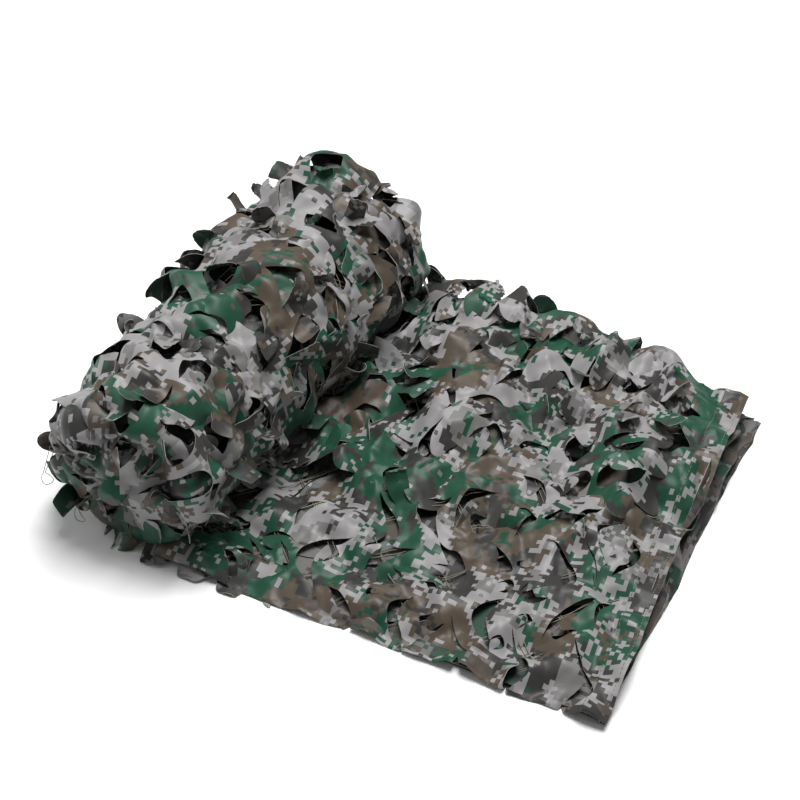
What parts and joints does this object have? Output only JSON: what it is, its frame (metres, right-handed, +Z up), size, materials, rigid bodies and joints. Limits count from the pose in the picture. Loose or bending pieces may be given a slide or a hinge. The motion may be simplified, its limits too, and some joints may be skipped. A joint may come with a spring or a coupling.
{
  "type": "camouflage net",
  "caption": "Camouflage net of leaf-cut printed cloth on a knotted string net, folded to a strip and partly rolled up, its loose end lying flat.",
  "frame": {"origin": "middle of the roll's flat foot, on the floor", "axes": "+X from the roll towards the strip's loose end, +Y along the roll, +Z up"},
  "size_m": [0.6569, 0.5319, 0.2183],
  "materials": {
    "printed_cloth": "coated polyester cloth with a printed pixel camouflage in light grey, green, brown and dark grey, satin",
    "string": "thin knotted polyester string, dull"
  },
  "bodies": {
    "root": {"garnish_roll": "printed_cloth", "garnish_loose_end": "printed_cloth", "string_net": "string"}
  },
  "joints": []
}
